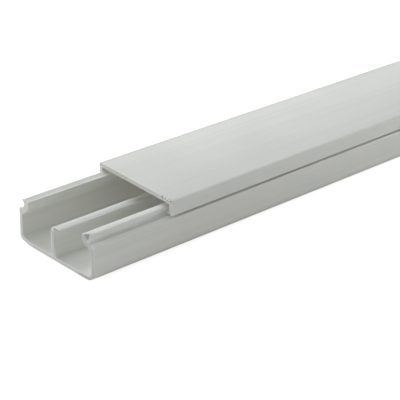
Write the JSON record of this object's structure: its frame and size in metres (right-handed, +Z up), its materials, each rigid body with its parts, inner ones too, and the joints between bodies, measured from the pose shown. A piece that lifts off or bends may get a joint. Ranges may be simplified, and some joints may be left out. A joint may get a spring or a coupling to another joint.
{
  "type": "cord cover raceway",
  "caption": "Straight cable raceway: extruded channel with a leaning divider, sliding clip-on cover, adhesive tape and peel-off liner underneath.",
  "frame": {"origin": "middle of the underside of the release liner, at mid length of the base", "axes": "+X along the length, with the open end at -X; +Y across the width, towards the wall that the divider leans to; +Z up"},
  "size_m": [0.4345, 0.04, 0.0202],
  "materials": {
    "base_channel": "satin extruded PVC, pale grey-white",
    "cover": "satin extruded PVC, pale grey-white, faint lengthwise streaks",
    "adhesive_tape": "pale cream-green foam tape",
    "release_liner": "amber coated kraft paper, slight sheen"
  },
  "bodies": {
    "base": {"base_channel": "base_channel", "adhesive_tape": "adhesive_tape", "release_liner": "release_liner"},
    "cover": {"cover": "cover"}
  },
  "joints": [
    {"name": "cover_slide", "type": "slide", "parent": "base", "child": "cover", "axis": [1, 0, 0], "range_m": [-0.034, 0.166]}
  ]
}
